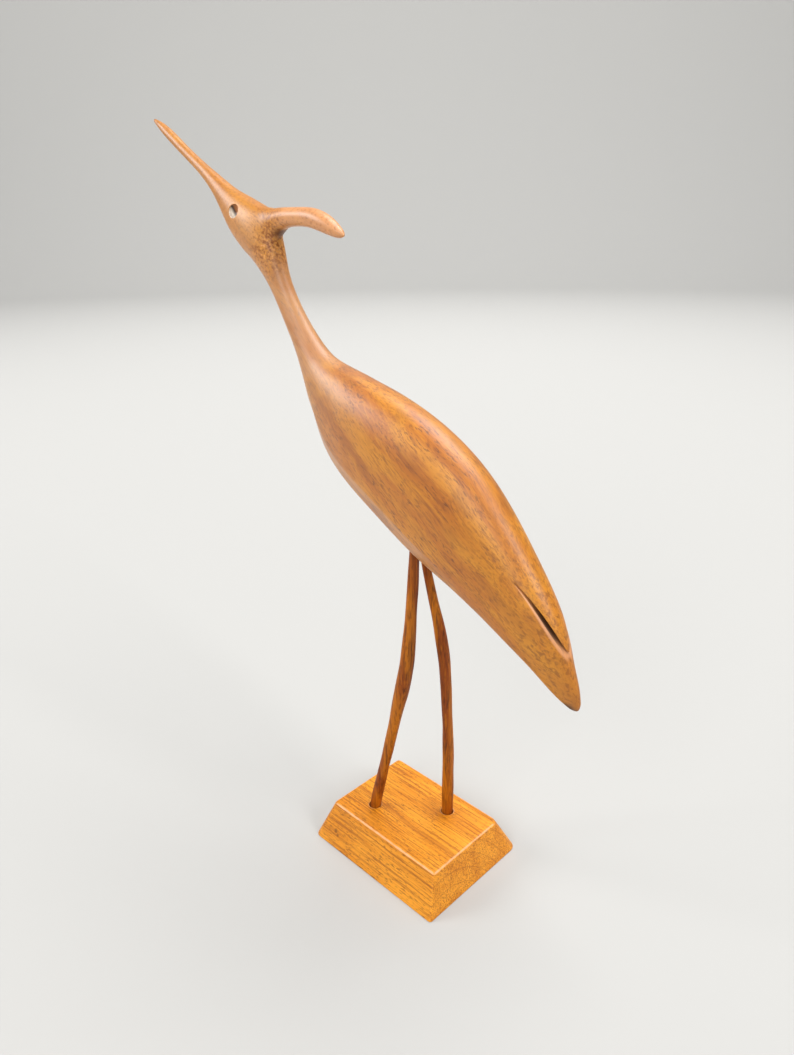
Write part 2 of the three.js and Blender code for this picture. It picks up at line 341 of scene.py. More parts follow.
def carved_sections(form, t):
    """The smoothed sections at t: centre (x, z), unit normal towards the back in the plane Y = 0,
    half depth, half width and the half depth before the tips round off, which sets the squareness."""
    stations = form["stations"]
    step = 1e-4
    rows = blend_stations(stations, t)
    ahead = blend_stations(stations, np.minimum(t + step, 1))
    behind = blend_stations(stations, np.maximum(t - step, 0))
    along = (ahead - behind)[:, :2]
    along /= np.linalg.norm(along, axis=1, keepdims=True)
    normal = np.stack([-along[:, 1], along[:, 0]], axis=1)
    ends = np.asarray([stations[0][:2], stations[-1][:2]], float)
    tip = np.ones(len(t))
    for end, length in zip(ends, form["tips"]):
        tip *= round_tip(np.linalg.norm(rows[:, :2] - end, axis=1), length)
    return rows[:, :2], normal, rows[:, 2] * tip, rows[:, 3] * tip, rows[:, 2]


def carved_form(form, t, angle):
    """Grid of points, in mm, of a carved form. With p = 2 / (2 + squareness * half depth) and
    v = sgn(cos a)|cos a|^p, u = sgn(sin a)|sin a|^p, a point is the centre + normal * half depth * v,
    at Y = half width * u. The bird's belly facet is the plane |u| + |v| = its value at the arris."""
    centre, normal, half_depth, half_width, fullness = carved_sections(form, t)
    towards_back = np.cos(angle)[None, :]
    squareness = np.where(towards_back > 0, BACK_SQUARENESS, BELLY_SQUARENESS)
    power = 2 / (2 + squareness * fullness[:, None])
    rise = signed_power(towards_back, power)
    reach = signed_power(np.sin(angle)[None, :], power)
    if form is BIRD:
        flat = np.cos(ARRIS_ANGLE) ** power + np.sin(ARRIS_ANGLE) ** power
        planed = np.minimum(flat / (np.abs(rise) + np.abs(reach)), 1)
        x = centre[:, :1]
        share = smooth_step(x, *ARRIS_STARTS) * (1 - smooth_step(x, *ARRIS_ENDS)) * (towards_back < 0)
        planed = 1 + share * (planed - 1)
        rise, reach = rise * planed, reach * planed
    rise, reach = half_depth[:, None] * rise, half_width[:, None] * reach
    x = centre[:, :1] + normal[:, :1] * rise
    z = centre[:, 1:] + normal[:, 1:] * rise
    return np.stack([x, reach, z], axis=-1)


def nearest_section(form, points):
    """For points (x, z) in mm: the section whose centre line passes nearest, with the point's offset
    from it towards the back. A coarse search over even steps is refined along the local tangent."""
    count = 500
    t = np.linspace(0, 1, count)
    line = blend_stations(form["stations"], t)[:, :2]
    nearest = ((points[:, None, :] - line[None]) ** 2).sum(axis=2).argmin(axis=1)
    tangent = np.gradient(line, axis=0)
    behind = ((points - line[nearest]) * tangent[nearest]).sum(axis=1)
    share = np.clip(behind / (tangent[nearest] ** 2).sum(axis=1), -0.6, 0.6)
    centre, normal, half_depth, half_width, fullness = carved_sections(
        form, np.clip(t[nearest] + share / (count - 1), 0, 1)
    )
    offset = ((points - centre) * normal).sum(axis=1)
    squareness = np.where(offset > 0, BACK_SQUARENESS, BELLY_SQUARENESS)
    return offset, half_depth, half_width, 2 + squareness * fullness


def surface_distance(form, points):
    """Signed distance in mm of points from a carved form, positive outside: with the offset d and
    g = (|d / half depth|^q + |y / half width|^q)^(1/q), it is (1 - 1/g) * sqrt(d^2 + y^2)."""
    offset, half_depth, half_width, q = nearest_section(form, points[:, [0, 2]])
    tiny = 1e-6
    inner = (np.abs(offset) / (half_depth + tiny)) ** q + (np.abs(points[:, 1]) / (half_width + tiny)) ** q
    g = np.maximum(inner, tiny) ** (1 / q)
    return (1 - 1 / g) * np.hypot(offset, points[:, 1])


def side_reach(form, x, z):
    """How far the form reaches from the plane Y = 0 at each (x, z), in mm: half width *
    (1 - |d / half depth|^q)^(1/q), and 0 beyond its outline."""
    flat = np.stack([x.ravel(), z.ravel()], axis=1)
    offset, half_depth, half_width, q = nearest_section(form, flat)
    inside = np.clip(1 - (np.abs(offset) / (half_depth + 1e-6)) ** q, 0, 1)
    return (half_width * inside ** (1 / q)).reshape(x.shape)


def quadratic(points, s):
    """Quadratic Bezier curve through the first and last of three rows, drawn towards the middle one."""
    a, b, c = (np.asarray(p, float) for p in points)
    s = s[:, None] if a.ndim else s
    return (1 - s) ** 2 * a + 2 * s * (1 - s) * b + s**2 * c


def crowd_ends(count, crowding):
    """Steps from 0 to 1 that lie closer together towards both ends: v - crowding sin(2 pi v) / 2 pi."""
    v = np.linspace(0, 1, count)
    return v - crowding * np.sin(2 * np.pi * v) / (2 * np.pi)


# Meshes


def ring_faces(count, sides):
    """Faces between neighbouring rings of a grid, each as four vertex numbers. A ring closes on itself."""
    row, column = np.meshgrid(np.arange(count - 1), np.arange(sides), indexing="ij")
    here, beside = row * sides + column, row * sides + (column + 1) % sides
    return np.stack([here, beside, beside + sides, here + sides], axis=-1).reshape(-1, 4)


def closed_mesh(name, rings):
    """Mesh, in metres, of a grid of rings in mm. Each ring closes on itself, and a fan closes each end
    of the grid at the middle of its outer ring. The faces are turned outwards."""
    count, sides = rings.shape[:2]
    ends = np.stack([rings[0].mean(axis=0), rings[-1].mean(axis=0)])
    points = np.vstack([rings.reshape(-1, 3), ends]) * MM
    quads = ring_faces(count, sides)
    around = np.arange(sides)
    after = (around + 1) % sides
    first = np.full(sides, count * sides)
    last_row = (count - 1) * sides
    fans = np.vstack([
        np.stack([after, around, first], axis=1),
        np.stack([last_row + around, last_row + after, first + 1], axis=1),
    ])
    mesh = bpy.data.meshes.new(name)
    mesh.from_pydata(points.tolist(), [], quads.tolist() + fans.tolist())
    centred = points - points.mean(axis=0)
    corners = centred[quads[:, [0, 1, 2, 0, 2, 3]]].reshape(-1, 3, 3)
    volume = np.einsum("ij,ij->", corners[:, 0], np.cross(corners[:, 1], corners[:, 2]))
    if volume < 0:  # the faces point inwards
        mesh.flip_normals()
    mesh.validate()
    return mesh


def mesh_points(mesh):
    """The mesh's vertices as an array, in metres."""
    flat = np.empty(len(mesh.vertices) * 3, np.float32)
    mesh.vertices.foreach_get("co", flat)
    return flat.reshape(-1, 3).astype(float)


def place_points(mesh, points):
    """Moves the mesh's vertices to an array of points, in metres."""
    mesh.vertices.foreach_set("co", points.astype(np.float32).ravel())
    mesh.update()


def paint(mesh, name, values):
    """Stores one number for each vertex, which a material reads by name."""
    attribute = mesh.attributes.new(name, "FLOAT", "POINT")
    attribute.data.foreach_set("value", values.astype(np.float32))


def add_object(name, data):
    """Adds an object that shows a mesh, a light or a camera to the scene."""
    added = bpy.data.objects.new(name, data)
    bpy.context.scene.collection.objects.link(added)
    return added


def combine(mesh, other, operation):
    """Joins a second closed mesh to the first, or cuts it away, and returns the new mesh."""
    work, tool = add_object("work", mesh), add_object("tool", other)
    boolean = work.modifiers.new("combine", "BOOLEAN")
    boolean.operation = operation
    boolean.solver = "MANIFOLD"
    boolean.object = tool
    evaluated = work.evaluated_get(bpy.context.evaluated_depsgraph_get())
    made = bpy.data.meshes.new_from_object(evaluated)
    bpy.data.objects.remove(work)
    bpy.data.objects.remove(tool)
    if len(made.polygons) == 0:
        raise RuntimeError(f"{mesh.name}: nothing is left after {operation}")
    made.name = mesh.name
    bpy.data.meshes.remove(mesh)
    bpy.data.meshes.remove(other)
    return made


def show_piece(name, mesh, material, body="root"):
    """Links a finished mesh as a piece that rides on a body and stands for the CAD node of its name."""
    mesh.materials.clear()
    mesh.materials.append(material)
    piece = add_object(name + "_wood", mesh)
    mesh.shade_smooth()
    mesh.set_sharp_from_angle(angle=math.radians(40))
    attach(piece, body)
    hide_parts(name)
    return piece


# Bird


def smooth_union(points, fillet):
    """Smooth minimum of the distances to body and crest, min(a, b) - h^2 * fillet / 4 with
    h = max(fillet - |a - b|, 0) / fillet, which rounds the corner between them."""
    to_body = surface_distance(BIRD, points)
    to_crest = surface_distance(CREST, points)
    h = np.maximum(fillet - np.abs(to_body - to_crest), 0) / fillet
    return np.minimum(to_body, to_crest) - h**2 * fillet / 4


def fill_crest_root(mesh, fillet):
    """Moves the vertices around the crest's root onto the smooth union of body and crest: three
    Newton steps of -f * grad f / |grad f|^2, faded out in front of the root."""
    front, full, back, bottom = -90.0, -84.0, -52.0, 236.0
    points = mesh_points(mesh) / MM
    near = (points[:, 0] > front) & (points[:, 0] < back) & (points[:, 2] > bottom)
    moving = points[near]
    fade = np.clip((moving[:, 0] - front) / (full - front), 0, 1)
    step = 0.05
    for _ in range(3):
        value = smooth_union(moving, fillet)
        slope = np.stack(
            [(smooth_union(moving + step * axis, fillet) - value) / step for axis in np.eye(3)], axis=1
        )
        size = np.maximum((slope**2).sum(axis=1), 0.25)
        moving = moving - (fade * value / size)[:, None] * slope
    points[near] = moving
    place_points(mesh, points * MM)


def slot_cutter():
    """Closed tube of the wing slot. Its outline in the plane Y = 0 runs in along the upper edge, around
    the closed end in a half circle and out along the lower edge, and is carried through along Y. With
    the wear w, the walls flare by w (1 - cos a) at a depth of w (1 - sin a) below each side surface,
    for turns a up to the last one, from where they leave the surface straight."""
    steps = np.linspace(0, 1, 56)
    upper, lower = quadratic(SLOT_UPPER, steps), quadratic(SLOT_LOWER, steps)
    across = (upper[0] - lower[0]) / 2
    along = np.array([across[1], -across[0]])
    turn = np.linspace(0, np.pi, 9)[1:-1, None]
    closed_end = np.cos(turn) * across - np.sin(turn) * along
    edge = np.vstack([
        upper[-1] + SLOT_OUTWARDS, upper[::-1], (upper[0] + lower[0]) / 2 + closed_end, lower,
        lower[-1] + SLOT_OUTWARDS,
    ])
    upwards = np.gradient(upper, axis=0)[:, ::-1] * (-1, 1)
    downwards = np.gradient(lower, axis=0)[:, ::-1] * (1, -1)
    outward = np.vstack([upwards[-1], upwards[::-1], closed_end, downwards, downwards[-1]])
    outward /= np.linalg.norm(outward, axis=1, keepdims=True)
    upper_wear, lower_wear = quadratic(SLOT_UPPER_WEAR, steps), quadratic(SLOT_LOWER_WEAR, steps)
    wear = np.concatenate([
        upper_wear[-1:], upper_wear[::-1], np.full(len(turn), upper_wear[0]), lower_wear, lower_wear[-1:]
    ])
    last_turn = math.radians(72)
    outside = 14.0  # how far the tube stands out on either side
    thinnest, apart = 0.4, 0.1  # least half widths: of the tail, also past its outline, and of the tube
    half = []
    for ring, a in enumerate([last_turn, last_turn, *np.linspace(last_turn, 0, 9)]):
        straight = (0.4 + 0.5 * wear) * (ring < 2)
        flare = wear * (1 - math.cos(a)) + straight * math.sin(last_turn)
        depth = wear * (1 - math.sin(a)) - straight * math.cos(last_turn) - outside * (ring == 0)
        place = edge + outward * flare[:, None]
        reach = np.maximum(side_reach(BIRD, place[:, 0], place[:, 1]), thinnest)
        half.append(np.column_stack([place[:, 0], np.maximum(reach - depth, apart), place[:, 1]]))
    mirror = np.array([1, -1, 1])
    return closed_mesh("slot cutter", np.stack([ring * mirror for ring in half] + half[::-1]))


def eye_cutter(side, settings):
    """Closed drill of one eye socket: oval rings around the drill's axis along Y, from the dished
    floor, a quarter ellipse, up the straight wall, over a rounded lip that follows the head's surface,
    and out past it. side is -1 for left and 1 for right."""
    radius, lip = settings.eye_radius / MM, settings.eye_lip / MM
    wall, dish = settings.eye_wall / MM, settings.eye_dish / MM
    centre_x, centre_z = -settings.eye_x / MM, settings.eye_z / MM
    around = full_turn(72)
    forward, upward = settings.eye_stretch * np.cos(around), np.sin(around)
    skin = side_reach(BIRD, np.array([centre_x]), np.array([centre_z]))[0]
    floor_turn = np.linspace(0.04, 1, 14) * np.pi / 2  # from near the axis to the wall
    lip_turn = np.linspace(0, 0.78, 8) * np.pi / 2  # from the wall to nearly level
    outside = 8.0
    rings = []
    for turn in floor_turn:
        reach = radius * np.sin(turn)
        height = np.full(len(around), skin - lip - wall - dish * np.cos(turn))
        rings.append((np.full(len(around), reach), height))
    for turn in lip_turn:
        reach = np.full(len(around), radius + lip * (1 - np.cos(turn)))
        surface = side_reach(BIRD, centre_x + reach * forward, centre_z + reach * upward)
        rings.append((reach, surface - lip * (1 - np.sin(turn))))
    slope = lip * 0.6
    rings.append((reach + slope, rings[-1][1] + slope * 1.2))
    rings.append((reach + slope, np.full(len(around), skin + outside)))
    grid = np.stack([
        np.stack([centre_x + r * forward, side * y, centre_z + r * upward], axis=1)
        for r, y in rings
    ])
    return closed_mesh("eye drill", grid)


def dowel(stations, rings, sides, start=0.0, oversize=0.0, wander=0.0):
    """Grid of level rings, in mm, about the smoothed centre line from the share start on: radius +
    oversize + a slow wander of three sines in height and angle."""
    t = np.linspace(start, 1, rings)
    rows = blend_stations(stations, t)
    angle = full_turn(sides)
    height = rows[:, 2:3]
    wave = (
        np.sin(height / 4.1 + 2 * angle)
        + np.sin(height / 7.3 - angle + 1.3)
        + np.sin(height / 2.6 + 3 * angle + 0.5) * 0.5
    )
    radius = rows[:, 3:4] + oversize + wander * wave
    return np.stack(
        [rows[:, :1] + radius * np.cos(angle), rows[:, 1:2] + radius * np.sin(angle), height + 0 * radius],
        axis=-1,
    )


def paint_bird(mesh, settings):
    """Stores for each vertex how deep, in mm, it lies below the carved surface in an eye socket and in
    the slot; how far up it lies in a socket, from -1 at the lower front to 1 at the upper back, and 0.3
    more for each mm of depth; whether it is nearer to the slot's lower edge than to its upper one; and
    how near it is, from 0 to 1, to the middle of the rough nape and to the crest's root."""
    points = mesh_points(mesh) / MM
    x, y, z = points.T
    depth = np.maximum(-np.minimum(surface_distance(BIRD, points), surface_distance(CREST, points)), 0)
    behind_eye, above_eye = x + settings.eye_x / MM, z - settings.eye_z / MM
    eye_radius = settings.eye_radius / MM
    in_eye = np.hypot(behind_eye / settings.eye_stretch, above_eye) < eye_radius + 0.05
    paint(mesh, "socket_depth", np.where(in_eye, depth, 0))
    # Runs from the painted light at a socket's lower front to the painted shade at its upper back
    back_share, up_share = EYE_SHADE_DIRECTION
    upward = back_share * behind_eye + up_share * above_eye
    paint(mesh, "socket_side", upward / eye_radius + 0.3 * depth)
    in_slot = x > SLOT_FRONT
    paint(mesh, "cut_depth", np.where(in_slot, depth, 0))
    steps = np.linspace(0, 1, 80)
    to_upper, to_lower = (
        np.hypot(x[in_slot, None] - edge[:, 0], z[in_slot, None] - edge[:, 1]).min(axis=1)
        for edge in (quadratic(SLOT_UPPER, steps), quadratic(SLOT_LOWER, steps))
    )
    lip = np.zeros(len(x))
    lip[in_slot] = smooth_step(to_upper - to_lower, -0.1, 0.3)
    paint(mesh, "lower_lip", lip)
    behind, above = x - NAPE_MIDDLE[0], z - NAPE_MIDDLE[1]
    run, rise = NAPE_DIRECTION
    along = (behind * run + above * rise) / NAPE_REACH[0]
    across = (behind * rise - above * run) / NAPE_REACH[1]
    paint(mesh, "nape", np.clip(1.25 - np.hypot(along, across), 0, 1))
    from_root = np.hypot(x - ROOT_MIDDLE[0], z - ROOT_MIDDLE[1]) / ROOT_REACH[0]
    paint(mesh, "crest_root", np.clip(1.2 - np.hypot(from_root, y / ROOT_REACH[1]), 0, 1))


class WADER_OT_carve_bird(bpy.types.Operator):
    """Carves body, neck, head, beak and crest as one piece, with its wing slot and eye sockets."""

    bl_idname = "wader.carve_bird"
    bl_label = "Carve Bird"

    def execute(self, context):
        settings = context.scene.wader_bird
        along_body, along_crest = crowd_ends(560, crowding=0.5), crowd_ends(150, crowding=0.6)
        body = closed_mesh("bird", carved_form(BIRD, along_body[1:-1], full_turn(144)))
        crest = closed_mesh("crest", carved_form(CREST, along_crest[1:-1], full_turn(56)))
        bird = combine(body, crest, "UNION")
        fill_crest_root(bird, settings.crest_fillet / MM)
        bird = combine(bird, slot_cutter(), "DIFFERENCE")
        for side in (-1, 1):
            bird = combine(bird, eye_cutter(side, settings), "DIFFERENCE")
        for name, stations in LEGS.items():
            socket = dowel(stations, start=HIP_START, oversize=HIP_CLEARANCE, rings=60, sides=40)
            bird = combine(bird, closed_mesh(name + " socket", socket), "DIFFERENCE")
        paint_bird(bird, settings)
        piece = show_piece("bird", bird, bird_teak(settings))
        return {"FINISHED"}


class WADER_OT_shape_legs(bpy.types.Operator):
    """Shapes the two bent legs as hand-whittled dowels with a swollen knee."""

    bl_idname = "wader.shape_legs"
    bl_label = "Shape Legs"

    def execute(self, context):
        settings = context.scene.wader_legs
        material = leg_teak(settings)
        for name, stations in LEGS.items():
            leg = dowel(stations, rings=280, sides=40, wander=settings.whittling / MM)
            piece = show_piece(name, closed_mesh(name, leg), material)
        return {"FINISHED"}


# Base


def half_sides(settings, share):
    """Half of the block's length and of its width, in mm, at a share of its height. Both run linearly
    from the underside to the top."""
    half_length = (1 - share) * settings.length / MM / 2 + share * settings.top_length / MM / 2
    half_width = (1 - share) * settings.width / MM / 2 + share * settings.top_width / MM / 2
    return half_length, half_width


def bevelled_block(settings):
    """Grid of level rectangles, in mm, with a quarter circle at each corner. Their half sides and their
    radii run linearly from the underside to the top, and the half sides are less by an inset that
    rounds the foot edge and the top arris by quarter circles."""
    height = settings.height / MM
    arris, foot = settings.arris / MM, settings.foot_arris / MM
    turn = np.linspace(0, np.pi / 2, 9)
    wall = foot + (height - arris - foot) * (1 - np.cos(np.linspace(0, np.pi, 16))[1:-1]) / 2
    inner = np.array([0.3, 0.8, 2.0, 6.0, 14.0])  # further insets on the top and the underside
    levels = np.concatenate([
        0 * inner, foot * (1 - np.cos(turn)), wall, height - arris * (1 - np.sin(turn)), height + 0 * inner
    ])
    insets = np.concatenate([
        foot + inner[::-1], foot * (1 - np.sin(turn)), 0 * wall, arris * (1 - np.cos(turn)), arris + inner
    ])
    share = levels / height
    half_x, half_y = (side - insets for side in half_sides(settings, share))
    along = np.linspace(0, 1, 22)[1:-1, None]
    quarter = np.linspace(0, np.pi / 2, 9)
    rings = []
    for x, y, z, part in zip(half_x, half_y, levels, share):
        arcs = []
        for place, (signs, (foot_radius, top_radius)) in enumerate(BLOCK_EDGES.items()):
            radius = (1 - part) * foot_radius + part * top_radius
            a = quarter + place * np.pi / 2
            centre = np.multiply(signs, (x - radius, y - radius))
            arcs.append(centre + radius * np.stack([np.cos(a), np.sin(a)], axis=1))
        sides = [arc[-1] + along * (after[0] - arc[-1]) for arc, after in zip(arcs, arcs[1:] + arcs[:1])]
        outline = np.vstack([row for pair in zip(arcs, sides) for row in pair])
        rings.append(np.column_stack([outline, np.full(len(outline), z)]))
    return np.stack(rings)


def hole_cutter(stations, settings):
    """Closed round drill that follows the leg's slant into the block's top, with a flared rim:
    radius + lip * (1 - sqrt(1 - (1 - depth / lip)^2)) within a lip's depth of the top."""
    top, lip = settings.height / MM, settings.hole_lip / MM
    radius, bottom = settings.hole_radius / MM, (settings.height - settings.hole_depth) / MM
    rim_turn, above = np.linspace(np.pi / 2, 0.12, 8), 3.0
    depth = np.concatenate([[top - bottom], lip * (1 - np.cos(rim_turn)), [-above]])
    flare = lip * (1 - np.sqrt(1 - (1 - np.clip(depth, 0, lip) / lip) ** 2))
    foot, shin = np.asarray(stations[0][:3]), np.asarray(stations[1][:3])
    slant = (shin - foot) / (shin - foot)[2]
    around = full_turn(48)
    rings = []
    for below, wider in zip(depth, flare):
        centre = foot + slant * (top - below - foot[2])
        ring = np.stack([np.cos(around), np.sin(around), 0 * around], axis=1) * (radius + wider)
        rings.append(centre + ring)
    return closed_mesh("leg drill", np.stack(rings))


def paint_base(mesh, settings):
    """Stores each vertex's distance, in mm, from the nearest worn edge: the top arris, and, as if a
    little farther away because they are less worn, the upright edges, the foot edge and the rims of the
    leg holes."""
    points = mesh_points(mesh) / MM
    x, y, z = np.abs(points[:, 0]), np.abs(points[:, 1]), points[:, 2]
    height = settings.height / MM
    share = z / height
    half_length, half_width = half_sides(settings, share)
    to_end, to_side = half_length - x, half_width - y
    to_wall = np.minimum(to_end, to_side)
    eased = settings.arris / MM * 0.3  # how far the middle of the worn arris lies inside the corner
    upright_less, foot_less, rim_less = 0.35, 0.25, 0.1
    top_edge = np.abs(np.hypot(height - z, to_wall) - eased)
    upright = np.hypot(to_end, to_side) + upright_less
    foot = np.hypot(z, to_wall) + foot_less
    from_edge = np.minimum.reduce([top_edge, upright, foot])
    rim_radius = (settings.hole_radius + settings.hole_lip) / MM
    for stations in LEGS.values():
        lower_leg = blend_stations(stations, np.linspace(0, 0.2, 60))
        hole = lower_leg[np.abs(lower_leg[:, 2] - height).argmin()]
        from_axis = np.hypot(points[:, 0] - hole[0], points[:, 1] - hole[1])
        from_rim = np.abs(from_axis - rim_radius) + (height - z) + rim_less
        from_edge = np.minimum(from_edge, from_rim)
    paint(mesh, "from_edge", from_edge)


class WADER_OT_saw_base(bpy.types.Operator):
    """Saws the bevelled block, eases its edges and drills its two leg holes."""

    bl_idname = "wader.saw_base"
    bl_label = "Saw Base"

    def execute(self, context):
        settings = context.scene.wader_base
        block = closed_mesh("base", bevelled_block(settings))
        for stations in LEGS.values():
            block = combine(block, hole_cutter(stations, settings), "DIFFERENCE")
        paint_base(block, settings)
        piece = show_piece("base", block, base_teak(settings))
        return {"FINISHED"}


# Materials


def add_node(tree, kind, inputs=None, **settings):
    """Adds one shader node. inputs maps an input's name or number to a value, or to an output that is
    linked to it."""
    node = tree.nodes.new(kind)
    for name, value in settings.items():
        setattr(node, name, value)
    for key, value in (inputs or {}).items():
        if isinstance(value, bpy.types.NodeSocket):
            tree.links.new(value, node.inputs[key])
        else:
            node.inputs[key].default_value = value
    return node


def mask(tree, *factors):
    """Product of factors. Each is a number, an output, or a smooth rise: a tuple of the output that it
    follows, the two values between which it rises, and what it rises from and to if not 0 and 1."""
    product = None
    for factor in factors:
        if isinstance(factor, tuple):
            value, low, high, *ends = factor
            start, end = ends or (0.0, 1.0)
            factor = add_node(
                tree,
                "ShaderNodeMapRange",
                {"Value": value, "From Min": low, "From Max": high, "To Min": start, "To Max": end},
                interpolation_type="SMOOTHSTEP",
            ).outputs[0]
        if product is None:
            product = factor
        else:
            product = add_node(
                tree, "ShaderNodeMath", {0: product, 1: factor}, operation="MULTIPLY"
            ).outputs[0]
    return product


def lay_over(tree, under, over, *factors):
    """Lays one colour over another, as strongly as the mask of the factors says."""
    return add_node(
        tree, "ShaderNodeMix", {0: mask(tree, *factors), 6: under, 7: over}, data_type="RGBA"
    ).outputs[2]


class Teak:
    """Oiled teak that is being mixed: its material, node tree, coordinates, colour and relief.

    Streaks, mottles and pores are noise drawn out along the grain. grain_turn is the grain's turn, in
    degrees, from +X about +Y, and waver is how far, in mm, the fibres wander. mottles and pores each
    give the strength, and the length and breadth in mm, and sparse is the share of it that is left
    between their clusters. Real pores are 0.2 to 0.3 mm across, which is under a pixel here, so they
    are drawn 0.5 to 0.6 mm across."""

    def __init__(self, name, settings, grain_turn, waver, streaks, mottles, pores, sparse):
        self.material = bpy.data.materials.new(name)
        self.material.use_nodes = True
        self.tree = tree = self.material.node_tree
        tree.nodes.clear()
        self.place = add_node(tree, "ShaderNodeTexCoord").outputs["Object"]
        drift = add_node(
            tree, "ShaderNodeTexNoise", {"Vector": self.place, "Scale": 1 / (40 * MM), "Detail": 1.0}
        ).outputs["Color"]
        swing = add_node(
            tree, "ShaderNodeVectorMath", {0: drift, 1: (0.5,) * 3}, operation="SUBTRACT"
        ).outputs[0]
        self.bent = add_node(
            tree,
            "ShaderNodeVectorMath",
            {0: swing, 1: (waver * MM,) * 3, 2: self.place},
            operation="MULTIPLY_ADD",
        ).outputs[0]
        self.grain_turn = (0.0, math.radians(grain_turn), 0.0)
        band = self.grain(45, 7, distortion=0.4)
        fibre = self.grain(20, 0.8, detail=3.0)
        crowd = mask(tree, (self.grain(16, 8), 0.4, 0.62, sparse, 1.0))
        self.colour = settings.wood
        self.shade(settings.pale, (band, 0.38, 0.66, 0, streaks))
        self.shade(settings.pale, (fibre, 0.5, 0.72, 0, streaks * 0.6))
        self.shade(settings.dark, (fibre, 0.48, 0.28, 0, streaks * 0.6))
        strength, length, across = mottles
        mottle = self.grain(length, across, detail=3.0, distortion=0.6)
        self.shade(settings.dark, (mottle, 0.5, 0.72, 0, strength), crowd)
        strength, length, across = pores
        fleck = self.grain(length, across)
        pits = self.shade(settings.pores, (fleck, 0.53, 0.7, 0, strength), crowd)
        self.relief = fibre
        self.sink(pits, 1.5)

    def grain(self, length, across, detail=2.0, distortion=0.0):
        """Noise from 0 to 1 whose cells are length by across, in mm, and lie along the bent grain."""
        cell = (length * MM, across * MM, across * MM)
        place = add_node(
            self.tree,
            "ShaderNodeMapping",
            {"Vector": self.bent, "Rotation": self.grain_turn, "Scale": cell},
            vector_type="TEXTURE",
        ).outputs[0]
        return add_node(
            self.tree,
            "ShaderNodeTexNoise",
            {"Vector": place, "Scale": 1.0, "Detail": detail, "Distortion": distortion},
        ).outputs[0]

    def shade(self, colour, *factors):
        """Lays a colour over the wood, as strongly as the mask of the factors, and returns the mask."""
        share = mask(self.tree, *factors)
        self.colour = lay_over(self.tree, self.colour, colour, share)
        return share

    def spot(self, colour, place, radius, share):
        """Lays a round spot with a soft edge over the wood; its place and radius are in mm."""
        middle = tuple(value * MM for value in place)
        away = add_node(
            self.tree, "ShaderNodeVectorMath", {0: self.bent, 1: middle}, operation="DISTANCE"
        ).outputs["Value"]
        self.shade(colour, (away, radius * MM, radius * 0.4 * MM, 0, share))

    def sink(self, share, depth):
        """Lowers the relief where a share is high. The fibres' own relief has the depth 1."""
        self.relief = add_node(
            self.tree, "ShaderNodeMath", {0: share, 1: -depth, 2: self.relief}, operation="MULTIPLY_ADD"
        ).outputs[0]

    def finish(self, roughness, relief, coat, gloss):
        """Adds the shader, with a relief of the given height in mm. coat is how much oil shines over the
        wood, and gloss scales the wood's own reflection: 0.5 is that of varnish, less is dry open wood."""
        bump = add_node(
            self.tree, "ShaderNodeBump", {"Height": self.relief, "Strength": 0.5, "Distance": relief * MM}
        ).outputs[0]
        shader = add_node(
            self.tree,
            "ShaderNodeBsdfPrincipled",
            {
                "Base Color": self.colour, "Roughness": roughness, "IOR": 1.5, "Normal": bump,
                "Coat Weight": coat, "Coat Roughness": 0.4, "Specular IOR Level": gloss,
            },
        ).outputs[0]
        add_node(self.tree, "ShaderNodeOutputMaterial", {"Surface": shader})
        return self.material


